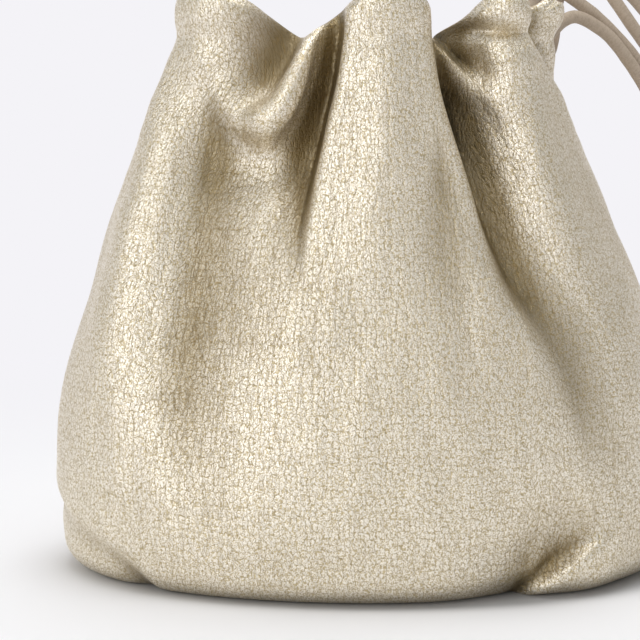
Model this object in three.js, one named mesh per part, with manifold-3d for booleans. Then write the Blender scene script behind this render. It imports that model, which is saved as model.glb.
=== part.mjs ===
// Kinchaku: a soft leather drawstring pouch, open at the top and gathered by two cords at its neck.
// Millimetres, +Z up, front towards -Y, origin under the middle of the base.
import * as THREE from 'three';
import { mergeVertices } from 'three/addons/utils/BufferGeometryUtils.js';
import Module from 'manifold-3d';

const wasm = await Module();
wasm.setup();

// Driving sizes of the pouch
const pouchWidth = 201;
const pouchDepth = 118;
const pouchHeight = 186;
const wall = 1.8;
const baseRadius = 9;
const pleatDepth = 16;
const pleatWidth = 9;
const rimCurl = 3;
const rimCurlHeight = 6;

// The two drawcords: each runs round inside the neck and leaves it as two strands through one hole
const cordDiameter = 4.2;
const clearance = 0.3;
const holeClearance = 0.7;
const knotRadius = 5.4;
const knotLength = 7.5;
const tailLength = 13;

// Mesh fineness: columns round the pouch, rows up its wall, and steps round an edge
const columns = 80;
const wallRows = 20;
const innerRows = 16;
const edgeSteps = 3;
const floorRings = [0.35, 0.7, 0.9];
const cordSides = 8;
const neckSteps = 24;
const strandSteps = 21;

// Outline of the wall without its folds. Height is a share of the pouch's height, left and right are
// shares of half its width, front and back are shares of half its depth.
const sections = [
  { height: 0.0, left: 0.97, right: 0.97, front: 0.955, back: 0.95 },
  { height: 0.06, left: 0.985, right: 0.985, front: 0.975, back: 0.975 },
  { height: 0.14, left: 1.0, right: 1.0, front: 1.0, back: 1.0 },
  { height: 0.25, left: 0.995, right: 0.995, front: 0.99, back: 0.99 },
  { height: 0.35, left: 0.965, right: 0.965, front: 0.96, back: 0.945 },
  { height: 0.48, left: 0.883, right: 0.883, front: 0.885, back: 0.86 },
  { height: 0.6, left: 0.82, right: 0.785, front: 0.795, back: 0.76 },
  { height: 0.72, left: 0.75, right: 0.69, front: 0.7, back: 0.67 },
  { height: 0.83, left: 0.7, right: 0.62, front: 0.625, back: 0.59 },
  { height: 0.91, left: 0.665, right: 0.605, front: 0.585, back: 0.55 },
  { height: 0.96, left: 0.655, right: 0.61, front: 0.575, back: 0.54 },
  { height: 1.02, left: 0.63, right: 0.6, front: 0.56, back: 0.53 },
];

// Height of the rim round the mouth: angle in degrees from the front towards the right, height as a
// share of the pouch's height. It stands up on the lobes and dips where a pleat is drawn in.
const rim = [
  { angle: -172, height: 0.93 },
  { angle: -157, height: 0.915 },
  { angle: -143, height: 0.93 },
  { angle: -126, height: 0.985 },
  { angle: -104, height: 0.935 },
  { angle: -80, height: 0.975 },
  { angle: -50, height: 1.0 },
  { angle: -36, height: 0.975 },
  { angle: -22, height: 0.915 },
  { angle: -14, height: 0.935 },
  { angle: -9, height: 0.955 },
  { angle: 3, height: 1.0 },
  { angle: 13, height: 0.99 },
  { angle: 20, height: 0.92 },
  { angle: 27, height: 0.915 },
  { angle: 36, height: 0.975 },
  { angle: 46, height: 0.99 },
  { angle: 62, height: 0.96 },
  { angle: 84, height: 0.985 },
  { angle: 104, height: 0.965 },
  { angle: 119, height: 0.94 },
  { angle: 134, height: 0.955 },
  { angle: 154, height: 0.915 },
  { angle: 168, height: 0.93 },
  { angle: 178, height: 0.97 },
];

// Folds of the leather. Each runs along a path of [angle in degrees, height as a share of the pouch's
// height, push as a share of the pleat depth], outwards where the push is positive. Left and right
// are its half widths to either side, seen from outside, as shares of the pleat width.
const folds = [
  { name: 'left_notch', left: 0.95, right: 0.5,
    path: [[-20, 1.1, -0.7], [-22, 0.92, -0.75], [-26, 0.86, -0.65], [-27.5, 0.82, -0.35],
      [-27.5, 0.79, 0]] },
  { name: 'left_cowl', left: 0.8, right: 0.8,
    path: [[-46, 0.86, 0], [-38, 0.8, 0.2], [-30, 0.775, 0.36], [-24, 0.785, 0.44], [-20, 0.82, 0.46],
      [-17.5, 0.87, 0.42], [-16, 0.92, 0.3], [-15.5, 0.98, 0]] },
  { name: 'left_gorge', left: 0.95, right: 0.32,
    path: [[-9.5, 1.1, -0.85], [-9.5, 0.93, -0.95], [-11.5, 0.845, -1.1], [-14, 0.765, -1],
      [-16, 0.69, -0.65], [-17, 0.61, -0.2], [-17, 0.56, 0]] },
  { name: 'front_lobe', left: 1.5, right: 1.5,
    path: [[4, 1.1, 0.4], [4.5, 0.8, 0.36], [3, 0.65, 0.22], [0, 0.5, 0]] },
  { name: 'right_gorge', left: 0.45, right: 1.5,
    path: [[20, 1.1, -0.8], [21.5, 0.92, -0.95], [24, 0.815, -1.25], [27, 0.735, -1.15],
      [29.5, 0.64, -0.75], [33, 0.53, -0.3], [36, 0.45, 0]] },
  { name: 'right_crease', left: 0.8, right: 1.7,
    path: [[26, 0.64, 0], [29, 0.58, -0.22], [36, 0.5, -0.34], [40, 0.435, -0.34], [42.5, 0.365, -0.26],
      [44.5, 0.26, -0.12], [46, 0.19, 0]] },
  { name: 'right_dimple', left: 0.32, right: 0.4,
    path: [[24, 1.1, -0.4], [26, 0.925, -0.55], [30, 0.893, -0.6], [33.5, 0.866, -0.3], [36, 0.84, 0]] },
  { name: 'right_cowl', left: 0.5, right: 0.5,
    path: [[19, 0.94, 0], [22.5, 0.915, 0.15], [26, 0.88, 0.2], [30, 0.848, 0.24], [34, 0.82, 0.2],
      [39, 0.79, 0]] },
  { name: 'right_lobe', left: 1.2, right: 1.2,
    path: [[42, 1.1, 0.25], [44, 0.86, 0.25], [47, 0.7, 0.15], [51, 0.54, 0]] },
  { name: 'side_pleat', left: 0.6, right: 0.9,
    path: [[50, 1.1, -0.5], [60, 0.935, -0.6], [76, 0.88, -0.5], [88, 0.84, -0.3], [97, 0.75, 0]] },
  { name: 'left_slope', left: 1.2, right: 2.6,
    path: [[-56, 0.94, 0], [-52, 0.89, -0.28], [-47.5, 0.83, -0.42], [-43, 0.74, -0.46],
      [-39, 0.66, -0.46], [-37.5, 0.57, -0.44], [-37.5, 0.47, -0.4], [-35.5, 0.36, -0.34],
      [-32, 0.26, -0.22], [-28, 0.13, 0]] },
  { name: 'left_hollow', left: 1.3, right: 1.3,
    path: [[-44, 0.755, 0], [-36, 0.72, -0.26], [-28, 0.695, -0.38], [-21, 0.69, -0.38],
      [-16, 0.71, -0.15], [-13, 0.73, 0]] },
  { name: 'left_lobe', left: 1.3, right: 1.3,
    path: [[-42, 1.1, 0.3], [-48, 0.89, 0.3], [-56, 0.75, 0.25], [-60, 0.62, 0.24], [-60, 0.48, 0.22],
      [-56, 0.34, 0.12], [-52, 0.22, 0]] },
  { name: 'right_dent', left: 0.35, right: 1.9,
    path: [[26, -0.05, -0.4], [29, 0.02, -0.44], [33.5, 0.055, -0.42], [39, 0.09, -0.3], [47, 0.13, 0]] },
  { name: 'right_corner', left: 1.2, right: 1.2,
    path: [[44, -0.05, 0.15], [45, 0.03, 0.15], [48, 0.13, 0]] },
  { name: 'left_tuck', left: 0.4, right: 0.6,
    path: [[-46, -0.05, -0.25], [-47, 0.015, -0.2], [-54, 0.05, -0.11], [-68, 0.085, -0.09],
      [-88, 0.118, -0.13], [-104, 0.13, 0]] },
  { name: 'left_side_pleat', left: 0.9, right: 0.8,
    path: [[-80, 1.1, -0.5], [-80, 0.92, -0.55], [-84, 0.8, -0.3], [-88, 0.66, 0]] },
  { name: 'left_rear_pleat', left: 0.9, right: 0.9,
    path: [[-106, 1.1, -0.6], [-107, 0.9, -0.65], [-110, 0.76, -0.4], [-112, 0.56, 0]] },
  { name: 'back_left_pleat', left: 0.9, right: 1,
    path: [[-157, 1.1, -0.8], [-157, 0.9, -0.8], [-153, 0.75, -0.45], [-146, 0.5, 0]] },
  { name: 'back_right_pleat', left: 1, right: 0.9,
    path: [[154, 1.1, -0.8], [154, 0.9, -0.8], [152, 0.72, -0.45], [147, 0.46, 0]] },
  { name: 'cord_pleat', left: 0.8, right: 0.8,
    path: [[120, 1.1, -0.5], [120, 0.9, -0.6], [121, 0.76, -0.3], [124, 0.58, 0]] },
  { name: 'back_lobe', left: 1.4, right: 1.4,
    path: [[178, 1.1, 0.25], [178, 0.85, 0.25], [178, 0.6, 0]] },
  { name: 'back_left_lobe', left: 1.3, right: 1.3,
    path: [[-128, 1.1, 0.2], [-129, 0.85, 0.2], [-131, 0.6, 0]] },
];

// The waist pressed in by the cords, as a share of the pleat depth
const waist = [
  { angle: -90, depth: 0.12 },
  { angle: -45, depth: 0.07 },
  { angle: 5, depth: 0.02 },
  { angle: 45, depth: 0.14 },
  { angle: 90, depth: 0.12 },
  { angle: 180, depth: 0.12 },
];
const waistHeight = 0.915;
const waistSpread = 0.022;

// Middle of the hole that the cords leave through, at the right rear, and its outward direction
const holePlace = new THREE.Vector3(46.3, 9.6, 163);
const holeAngle = 47;
const cordPitch = cordDiameter + clearance;

// Plan of a drawcord inside the neck, from the hole round the front, left and back to the hole again
const neckRoute = [[42.4, 2.1], [38.8, -1.8], [32.5, -4.5], [23.5, -6.4], [12, -10.6], [-3, -12.8],
  [-18, -12.6], [-31, -9.9], [-40, -5.6], [-44, 0], [-40, 5.6], [-31, 9.9], [-18, 12.4], [-3, 12.9],
  [10, 12.2], [20, 10.2], [28, 7.6], [34, 5.3], [39.1, 5.2]];

// Routes of the four strands outside the hole, each to the knot that it shares with its neighbour
const strands = [
  { name: 'cord_a_front', row: 1, side: 1, knot: 'knot_a', route: [[51.3, 12.1, 165.6],
    [55.5, 15.8, 167.8], [60.5, 19.5, 171.6], [64.5, 21.6, 175.4], [68.8, 23, 177], [74, 24.5, 175.1],
    [81, 26, 170.2], [89.5, 27.5, 159.6], [95, 28.3, 150.5], [99.5, 29, 139], [102.6, 29.5, 126],
    [104.4, 30, 110], [105, 30, 90], [105.2, 30, 68], [105.4, 30, 46], [106, 30, 27], [108, 29.3, 13],
    [111.8, 27, 5], [116, 22, 2.3], [119, 15, 2.3], [120, 8, 2.3]] },
  { name: 'cord_a_back', row: 1, side: -1, knot: 'knot_a', route: [[50.2, 15.9, 165.7], [51.6, 20, 170.2],
    [53, 23, 177.4], [56.5, 26, 184], [61.5, 27.6, 186.3], [66, 28.8, 184.7], [70, 29.6, 182.1],
    [75.5, 30.5, 178.3], [82.5, 31.5, 172.1], [90.5, 32.7, 163.2], [96, 33.8, 154], [100.3, 34.8, 142],
    [103, 35.6, 128], [104.6, 36, 110], [105.2, 36, 90], [105.6, 36, 68], [106, 36, 46],
    [107, 36, 27], [110, 35.2, 13], [115, 32, 5], [121, 25.5, 2.3], [125, 17, 2.3], [126.5, 8, 2.3]] },
  { name: 'cord_b_front', row: -1, side: 1, knot: 'knot_b', route: [[52, 13, 160.7], [56.5, 18, 161.6],
    [60.3, 23, 164.8], [62.3, 27.6, 170.4], [63.2, 31.6, 177.5], [65.2, 34.6, 184.2], [69.8, 36, 188.8],
    [75.6, 36.6, 189.4], [80.8, 36.2, 186.2], [84.4, 35.8, 181.6], [87.6, 35.6, 177], [92.4, 36.1, 170.6],
    [98, 37.5, 163], [103, 39, 151.5], [106.5, 40.3, 137], [108.6, 41.2, 120], [109.6, 41.6, 100],
    [110, 42, 78], [110.4, 42, 55], [111, 42, 33], [113, 42, 16], [117.5, 41.2, 5.5],
    [124.5, 39, 2.3], [132.5, 34, 2.3], [136.5, 26.4, 2.3]] },
  { name: 'cord_b_back', row: -1, side: -1, knot: 'knot_b', route: [[50, 16, 160.7],
    [51.4, 21.6, 162.2], [51.8, 27, 167], [54.6, 32.5, 175], [59, 37, 183], [65.4, 40.4, 189.6],
    [73.4, 41.8, 192], [81, 41.8, 190.4], [87.5, 41.6, 186.4], [93.2, 41.8, 181], [99, 42.6, 174],
    [104.5, 44, 164], [108.6, 45.4, 151], [111.4, 46.6, 135], [113, 47.4, 116], [113.8, 48, 96],
    [114.2, 48, 74], [114.6, 48, 52], [115.4, 48, 31], [118, 48, 15], [123, 47.5, 5.2],
    [130.5, 45.2, 2.3], [138, 40, 2.3], [142.6, 32, 2.3], [143.5, 26.4, 2.3]] },
];

// The two knots: the middle of each, the direction in plan that its strands come from, in degrees,
// and how far apart its two tails spread
const knots = [
  { name: 'knot_a', place: [123, 1.3, 5.3], angle: 90, spread: 12 },
  { name: 'knot_b', place: [140, 19.6, 5.3], angle: 90, spread: 12 },
];

// Columns stand evenly along the leather, not evenly in angle, and closer together at the front
const evening = 0.15;
const frontPull = 0.3;
const degrees = Math.PI / 180;

// Smooth value between the rows of a table, from one key column to one value column
function along(rows, key, value, at) {
  const last = rows.length - 1;
  let i = 0;
  while (i < last - 1 && at > rows[i + 1][key]) i += 1;
  const span = rows[i + 1][key] - rows[i][key];
  const t = Math.min(Math.max((at - rows[i][key]) / span, 0), 1);
  const slope = (j) => {
    const a = rows[Math.max(j - 1, 0)];
    const b = rows[Math.min(j + 1, last)];
    return (b[value] - a[value]) / (b[key] - a[key]);
  };
  const h = t * t * (3 - 2 * t);
  const start = t * (1 - t) * (1 - t) * slope(i) * span;
  const end = t * t * (t - 1) * slope(i + 1) * span;
  return rows[i][value] * (1 - h) + rows[i + 1][value] * h + start + end;
}

// The same round the closed mouth: the rows are repeated a turn to either side
function around(rows, value, angle) {
  const turns = [-360, 0, 360];
  const all = turns.flatMap((turn) => rows.map((row) => ({ ...row, angle: row.angle + turn })));
  return along(all, 'angle', value, angle);
}

function wrap(angle) {
  return ((angle + 540) % 360) - 180;
}

// Short steps along a fold's path, each with its place, its depth and its run from the one before
function foldSteps(fold) {
  const width = Math.min(fold.left, fold.right) * pleatWidth;
  const steps = [];
  for (let i = 0; i + 1 < fold.path.length; i += 1) {
    const [angle, height, depth] = fold.path[i];
    const [angleRun, heightRun, depthRun] = fold.path[i + 1].map((value, k) => value - fold.path[i][k]);
    const length = Math.hypot(angleRun * degrees * pouchWidth / 3, heightRun * pouchHeight);
    const count = Math.ceil(length / width);
    for (let j = 0; j < count; j += 1) {
      const t = (j + 0.5) / count;
      steps.push({
        angle: angle + angleRun * t,
        height: (height + heightRun * t) * pouchHeight,
        depth: (depth + depthRun * t) * pleatDepth,
        run: { x: angleRun * degrees / count, z: heightRun * pouchHeight / count },
      });
    }
  }
  return steps;
}

const foldPaths = folds.map((fold) => ({
  left: fold.left * pleatWidth,
  right: fold.right * pleatWidth,
  steps: foldSteps(fold),
}));

// Push of one fold at a place on the wall: a bell-shaped furrow or ridge carried along its path
function foldPush(fold, angle, height, arc) {
  let push = 0;
  for (const step of fold.steps) {
    const x = wrap(angle - step.angle) * degrees * arc;
    const z = height - step.height;
    const runX = step.run.x * arc;
    const length = Math.hypot(runX, step.run.z);
    const side = (runX * z - step.run.z * x) / length;
    const share = 0.5 + 0.5 * Math.tanh(side / Math.min(fold.left, fold.right));
    const width = fold.left + (fold.right - fold.left) * share;
    const bell = Math.exp(-(x * x + z * z) / (width * width)) / (width * Math.sqrt(Math.PI));
    push += step.depth * bell * length;
  }
  return push;
}

// A place on the outside of the wall, for an angle from the front and a height above the floor
function wallPoint(angle, height) {
  const share = height / pouchHeight;
  const sin = Math.sin(angle * degrees);
  const cos = Math.cos(angle * degrees);
  const [left, right, front, back] = ['left', 'right', 'front', 'back']
    .map((side) => along(sections, 'height', side, share));
  const a = (right + left + (right - left) * sin) * pouchWidth / 4;
  const b = (front + back + (front - back) * cos) * pouchDepth / 4;
  const arc = Math.hypot(a * cos, b * sin);
  const out = new THREE.Vector3(b * sin, -a * cos, 0).normalize();
  const low = Math.max(baseRadius - height, 0);
  let push = Math.sqrt(baseRadius ** 2 - low ** 2) - baseRadius;
  for (const fold of foldPaths) push += foldPush(fold, angle, height, arc);
  const pinch = ((share - waistHeight) / waistSpread) ** 2;
  push -= around(waist, 'depth', angle) * pleatDepth * Math.exp(-pinch);
  const over = height - (around(rim, 'height', angle) * pouchHeight - rimCurlHeight);
  const curl = Math.min(Math.max(over / rimCurlHeight, 0), 1);
  push -= rimCurl * (1 - Math.sqrt(1 - curl ** 2));
  return new THREE.Vector3(a * sin, -b * cos, height).addScaledVector(out, push);
}

// Height of a station of the wall: -1 to 0 rounds the base's edge, 0 to 1 climbs the wall and 1 to 2
// rolls the rim inwards
function stationHeight(angle, station) {
  const top = around(rim, 'height', angle) * pouchHeight - rimCurlHeight;
  if (station < 0) return baseRadius * (1 - Math.cos((station + 1) * Math.PI / 2));
  if (station > 1) return top + rimCurlHeight * Math.sin((station - 1) * Math.PI / 2);
  return baseRadius + (top - baseRadius) * station;
}

function outerPoint(angle, station) {
  return wallPoint(angle, stationHeight(angle, station));
}

// The inner face lies one wall below the outer one, square to it
function innerPoint(angle, station) {
  const step = 0.02;
  const ahead = outerPoint(angle + 1, station).sub(outerPoint(angle - 1, station));
  const up = outerPoint(angle, Math.min(station + step, 2))
    .sub(outerPoint(angle, Math.max(station - step, -1)));
  return outerPoint(angle, station).addScaledVector(ahead.cross(up).normalize(), -wall);
}

// Angle of a column
function columnAngle(column) {
  const turn = column * 2 * Math.PI / columns;
  return (turn - evening * Math.sin(2 * turn) - frontPull * Math.sin(turn)) / degrees;
}

// A closed solid through rings of points, from a pole at its start to a pole at its end
function loft(rings, startPole, endPole) {
  const count = rings[0].length;
  const points = [startPole, ...rings.flat(), endPole];
  const index = [];
  const at = (ring, column) => 1 + ring * count + column % count;
  for (let column = 0; column < count; column += 1) {
    index.push(0, at(0, column + 1), at(0, column));
    for (let ring = 0; ring + 1 < rings.length; ring += 1) {
      const [a, b] = [at(ring, column), at(ring, column + 1)];
      const [c, d] = [at(ring + 1, column), at(ring + 1, column + 1)];
      index.push(a, b, d, a, d, c);
    }
    index.push(points.length - 1, at(rings.length - 1, column), at(rings.length - 1, column + 1));
  }
  const geometry = new THREE.BufferGeometry().setFromPoints(points);
  geometry.setIndex(index);
  return geometry;
}

function pouchGeometry() {
  const angles = Array.from({ length: columns }, (_, column) => columnAngle(column));
  const ring = (place, station) => angles.map((angle) => place(angle, station));
  const scaled = (points, share, height) => points
    .map((point) => new THREE.Vector3(point.x * share, point.y * share, height));
  const edge = Array.from({ length: edgeSteps }, (_, step) => (step + 1) / edgeSteps);
  const stations = (rows) => [-1, ...edge.map((t) => t - 1),
    ...Array.from({ length: rows }, (_, row) => (row + 1) / rows), ...edge.map((t) => t + 1)];
  const outside = stations(wallRows).map((station) => ring(outerPoint, station));
  const inside = stations(innerRows).map((station) => ring(innerPoint, station)).reverse();
  const floor = floorRings.map((share) => scaled(outside[0], share, 0));
  const innerFoot = inside[inside.length - 1];
  innerFoot.forEach((point) => { point.z = wall; });
  const innerFloor = floorRings.map((share) => scaled(innerFoot, share, wall)).reverse();
  const rings = [...floor, ...outside, ...inside, ...innerFloor];
  return loft(rings, new THREE.Vector3(), new THREE.Vector3(0, 0, wall));
}

// Outline of a cord's section
function cordSection() {
  const corners = Array.from({ length: cordSides }, (_, i) => {
    const turn = (i + 0.5) * 2 * Math.PI / cordSides;
    return new THREE.Vector2(Math.cos(turn), Math.sin(turn)).multiplyScalar(cordDiameter / 2);
  });
  return new THREE.Shape(corners);
}

function cordGeometry(points, steps) {
  const extrudePath = new THREE.CatmullRomCurve3(points);
  return new THREE.ExtrudeGeometry(cordSection(), { steps, bevelEnabled: false, extrudePath });
}

// A place in the hole: out along its axis, and in one of the four cords' places across it
function holePoint(out, side, row) {
  const angle = holeAngle * degrees;
  const across = side * cordPitch / 2;
  return new THREE.Vector3(
    holePlace.x + Math.cos(angle) * out + Math.sin(angle) * across,
    holePlace.y + Math.sin(angle) * out - Math.cos(angle) * across,
    holePlace.z + row * cordPitch / 2,
  );
}

// Where the cord in the neck ends and a strand starts, behind the hole
const seam = -3;

function neckCord(row) {
  const height = holePlace.z + row * cordPitch / 2;
  const middle = neckRoute.map(([x, y]) => new THREE.Vector3(x, y, height));
  const ends = [1, -1].map((side) => holePoint(seam - clearance, side, row));
  return cordGeometry([ends[0], ...middle, ends[1]], neckSteps);
}

function strandCord({ row, side, route }) {
  const start = [seam, 0, cordDiameter / 2].map((out) => holePoint(out, side, row));
  return cordGeometry([...start, ...route.map((point) => new THREE.Vector3(...point))], strandSteps);
}

// A closed mesh as a solid, and back
function toSolid(geometry) {
  const bare = geometry.clone();
  bare.deleteAttribute('normal');
  bare.deleteAttribute('uv');
  const merged = mergeVertices(bare, 1e-4);
  return new wasm.Manifold(new wasm.Mesh({
    numProp: 3,
    vertProperties: Float32Array.from(merged.attributes.position.array),
    triVerts: Uint32Array.from(merged.index.array),
  }));
}

function toGeometry(solid) {
  const mesh = solid.getMesh();
  const geometry = new THREE.BufferGeometry();
  geometry.setAttribute('position', new THREE.BufferAttribute(mesh.vertProperties, 3));
  geometry.setIndex(new THREE.BufferAttribute(mesh.triVerts, 1));
  return geometry;
}

// The hole takes all four cords
function holeCutter() {
  const radius = cordPitch / Math.SQRT2 + cordDiameter / 2 + holeClearance;
  const cutter = new THREE.CylinderGeometry(radius, radius, 8 * wall, 16);
  cutter.rotateZ(Math.PI / 2 + holeAngle * degrees);
  return cutter.translate(...holePlace.toArray());
}

// A knot is one rounded lump with two short tails lying away from its strands
function knotGeometry({ angle, spread }) {
  const lump = new THREE.SphereGeometry(knotRadius, 10, 6);
  lump.scale(knotLength / knotRadius, 1.1, 0.95);
  let knot = toSolid(lump);
  for (const side of [-1, 1]) {
    const turn = side * spread / 2 * degrees;
    const low = cordDiameter / 2 - knotRadius * 0.95;
    const from = new THREE.Vector3(-knotLength / 2, side * 2, low + 0.6);
    const to = new THREE.Vector3(-knotLength - tailLength * Math.cos(turn), side * 4, low);
    to.y += side * tailLength * Math.sin(Math.abs(turn));
    const bend = from.clone().lerp(to, 0.5).setZ(low);
    knot = knot.add(toSolid(cordGeometry([from, bend, to], 3)));
  }
  return toGeometry(knot).rotateZ(angle * degrees);
}

const leather = new THREE.MeshStandardMaterial({ color: '#cbbd98', roughness: 0.42, metalness: 0.6 });
const cordLeather = new THREE.MeshStandardMaterial({ color: '#a59480', roughness: 0.75, metalness: 0 });

const bag = new THREE.Group();

function addPiece(name, geometry, material) {
  const piece = new THREE.Mesh(geometry, material);
  piece.name = name;
  bag.add(piece);
  return piece;
}

addPiece('pouch', toGeometry(toSolid(pouchGeometry()).subtract(toSolid(holeCutter()))), leather);
addPiece('neck_cord_upper', neckCord(1), cordLeather);
addPiece('neck_cord_lower', neckCord(-1), cordLeather);
strands.forEach((strand) => addPiece(strand.name, strandCord(strand), cordLeather));
knots.forEach((knot) => {
  addPiece(knot.name, knotGeometry(knot), cordLeather).position.set(...knot.place);
});

export default bag;
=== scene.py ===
"""Soft leather kinchaku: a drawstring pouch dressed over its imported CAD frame, in metres.

The pouch is one skin of pebbled metallic leather, worked out from the same short tables as the CAD
solid and then given its finer creases. Two round leather drawcords run inside its neck and hang
knotted beside it.
"""

import logging
import math
from collections.abc import Callable, Mapping, Sequence
from dataclasses import dataclass, field, replace
from enum import Enum
from typing import Any

import bpy
import numpy as np
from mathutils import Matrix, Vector

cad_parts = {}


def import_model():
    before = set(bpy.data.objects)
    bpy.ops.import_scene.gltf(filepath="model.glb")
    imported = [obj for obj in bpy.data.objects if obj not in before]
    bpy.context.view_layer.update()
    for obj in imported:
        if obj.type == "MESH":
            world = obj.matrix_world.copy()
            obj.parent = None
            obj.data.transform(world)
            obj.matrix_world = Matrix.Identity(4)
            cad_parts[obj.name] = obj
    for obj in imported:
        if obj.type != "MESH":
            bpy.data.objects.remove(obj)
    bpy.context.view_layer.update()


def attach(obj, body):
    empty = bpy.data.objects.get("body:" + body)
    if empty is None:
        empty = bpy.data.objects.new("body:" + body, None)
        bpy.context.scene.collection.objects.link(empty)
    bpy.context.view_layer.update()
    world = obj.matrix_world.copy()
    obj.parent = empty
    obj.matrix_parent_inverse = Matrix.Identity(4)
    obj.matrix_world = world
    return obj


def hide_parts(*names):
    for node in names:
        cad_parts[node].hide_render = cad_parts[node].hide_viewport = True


LOG = logging.getLogger("kinchaku")
ROOT = "root"
LEATHER_MAP = "leather_way"
# Vertex shares that carry painted shade into the leather's colour
VALLEY = "valley"
# Share of near-black painted shade in narrow crevices and the dark patches
CREVICE = "crevice"
# Share of a darker matte patch: painted shade, on a face that is also rougher and less metallic
MATTE_SHADE = "matte_shade"
CORD_MAP = "cord_way"
CORD_DIAMETER = 0.0042

Array = np.ndarray
Place = tuple[float, float, float]


class Slot(Enum):
    """The record's material slots."""

    POUCH = "pouch_leather"
    CORD = "cord_leather"


# Tables of the leather's form, as in the CAD source


@dataclass(frozen=True)
class Section:
    """Outline of the wall at one height: shares of half the width and half the depth."""

    height: float
    left: float
    right: float
    front: float
    back: float


@dataclass(frozen=True)
class Fold:
    """A furrow or ridge along a path of (angle in degrees, share of the height, share of the depth).

    Left and right are its half widths as shares of the pleat width.
    """

    name: str
    left: float
    right: float
    path: tuple[Place, ...]


SECTIONS = (
    Section(0.0, 0.97, 0.97, 0.955, 0.95),
    Section(0.06, 0.985, 0.985, 0.975, 0.975),
    Section(0.14, 1.0, 1.0, 1.0, 1.0),
    Section(0.25, 0.995, 0.995, 0.99, 0.99),
    Section(0.35, 0.965, 0.965, 0.96, 0.945),
    Section(0.48, 0.883, 0.883, 0.885, 0.86),
    Section(0.6, 0.82, 0.785, 0.795, 0.76),
    Section(0.72, 0.75, 0.69, 0.7, 0.67),
    Section(0.83, 0.7, 0.62, 0.625, 0.59),
    Section(0.91, 0.665, 0.605, 0.585, 0.55),
    Section(0.96, 0.655, 0.61, 0.575, 0.54),
    Section(1.02, 0.63, 0.6, 0.56, 0.53),
)

# Angle in degrees from the front towards the right, and height as a share of the pouch's height
RIM = (
    (-172, 0.93), (-157, 0.915), (-143, 0.93), (-126, 0.985), (-104, 0.935), (-80, 0.975), (-50, 1.0),
    (-36, 0.975), (-22, 0.915), (-14, 0.935), (-9, 0.955), (3, 1.0), (13, 0.99), (20, 0.92), (27, 0.915),
    (36, 0.975), (46, 0.99), (62, 0.96), (84, 0.985), (104, 0.965), (119, 0.94), (134, 0.955),
    (154, 0.915), (168, 0.93), (178, 0.97),
)

# Angle in degrees and depth as a share of the pleat depth
WAIST = ((-90, 0.12), (-45, 0.07), (5, 0.02), (45, 0.14), (90, 0.12), (180, 0.12))

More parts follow.
